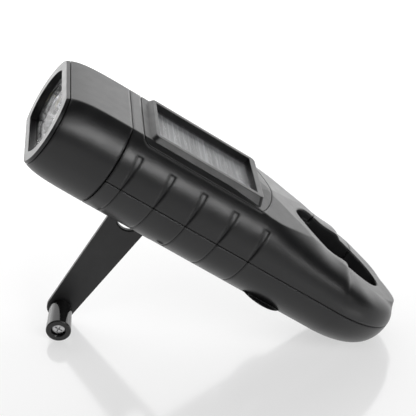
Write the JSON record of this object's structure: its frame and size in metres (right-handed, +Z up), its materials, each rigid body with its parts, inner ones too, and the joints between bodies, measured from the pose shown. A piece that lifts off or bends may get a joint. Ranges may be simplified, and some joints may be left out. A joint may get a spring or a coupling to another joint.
{
  "type": "hand-crank solar torch",
  "caption": "Hand-crank solar torch with a flared lamp head, solar deck, folding crank that stands it up, and a carabiner tail with a sprung gate.",
  "frame": {"origin": "centre of the bounding box's base, on the ground that the crank knob and the tail's heel stand on", "axes": "+X from the raised lamp head down to the carabiner tail, +Y across towards the gate side, +Z up"},
  "size_m": [0.1224, 0.0494, 0.0972],
  "materials": {
    "shell": "satin black moulded plastic, fine grain",
    "bezel": "silver-grey painted plastic ring",
    "clear": "clear moulded window",
    "bright": "vacuum-metallised reflector",
    "cell": "solar cell strips with fine wires",
    "board": "green solder mask",
    "arm": "stamped steel, matt black paint",
    "knob": "gloss black turned plastic",
    "steel": "plain steel",
    "brass": "sintered brass",
    "gear": "natural acetal",
    "iron": "laminated iron and ferrite",
    "copper": "enamelled copper wire",
    "cellcan": "shrink sleeve",
    "led": "emitters with silicone domes",
    "alu": "aluminium-cored board"
  },
  "bodies": {
    "case": {"battery": "cellcan", "battery_tabs": "steel", "bezel_ring": "bezel", "board_clamp": "shell", "board_parts": "iron", "case_screws": "steel", "gate_pin": "steel", "gate_spring": "steel", "gear_plate": "alu", "head_shell": "shell", "idler_pin": "steel", "led_board": "alu", "leds": "led", "lens": "clear", "lower_shell": "shell", "main_board": "board", "plate_screws": "steel", "reflector": "bright", "rotor_pin": "steel", "shaft_bushing": "brass", "solar_board": "board", "solar_cover": "shell", "solar_wafers": "cell", "solar_window": "clear", "stator_coil": "copper", "stator_core": "iron", "switch_board": "board", "switch_body": "knob", "upper_shell": "shell"},
    "gate": {"carabiner_gate": "shell"},
    "crank": {"crank_disc": "shell", "crank_shaft": "steel", "disc_screw": "steel", "drive_gear": "gear", "hinge_pin": "steel"},
    "arm": {"crank_arm": "arm", "knob_screw": "steel"},
    "knob": {"crank_knob": "knob"},
    "idler": {"idler_gear": "gear"},
    "generator_rotor": {"rotor": "gear", "rotor_magnet": "iron"},
    "button": {"switch_button": "knob"}
  },
  "joints": [
    {"name": "crank_spin", "type": "hinge", "parent": "case", "child": "crank", "pos_m": [-0.02427, -0.00044, 0.04763], "axis": [0.5676, 0, 0.8233], "continuous": true},
    {"name": "arm_fold", "type": "hinge", "parent": "crank", "child": "arm", "pos_m": [-0.02484, 0.00916, 0.04681], "axis": [0.8233, 0, -0.5676], "range_deg": [-96.3, 83.7]},
    {"name": "knob_spin", "type": "hinge", "parent": "arm", "child": "knob", "pos_m": [-0.05327, 0.01469, 0.00556], "axis": [-0.0623, -0.994, -0.0903], "continuous": true},
    {"name": "gate_swing", "type": "hinge", "parent": "case", "child": "gate", "pos_m": [0.0227, 0.01306, 0.03384], "axis": [-0.5676, 0, -0.8233], "range_deg": [0, 26], "stiffness_Nm_per_rad": 0.03, "springref_deg": -20.05},
    {"name": "button_press", "type": "slide", "parent": "case", "child": "button", "axis": [-0.1469, -0.9659, -0.2131], "range_m": [0, 0.0008], "stiffness_N_per_m": 800, "springref_m": -0.001},
    {"name": "idler_spin", "type": "hinge", "parent": "case", "child": "idler", "pos_m": [-0.00432, -0.00966, 0.05246], "axis": [0.5676, 0, 0.8233], "continuous": true},
    {"name": "rotor_spin", "type": "hinge", "parent": "case", "child": "generator_rotor", "pos_m": [0.00229, -0.00009, 0.0479], "axis": [0.5676, 0, 0.8233], "continuous": true}
  ],
  "couplings": [
    {"joint": "idler_spin", "follows": "crank_spin", "ratio": -4},
    {"joint": "rotor_spin", "follows": "crank_spin", "ratio": 16}
  ]
}
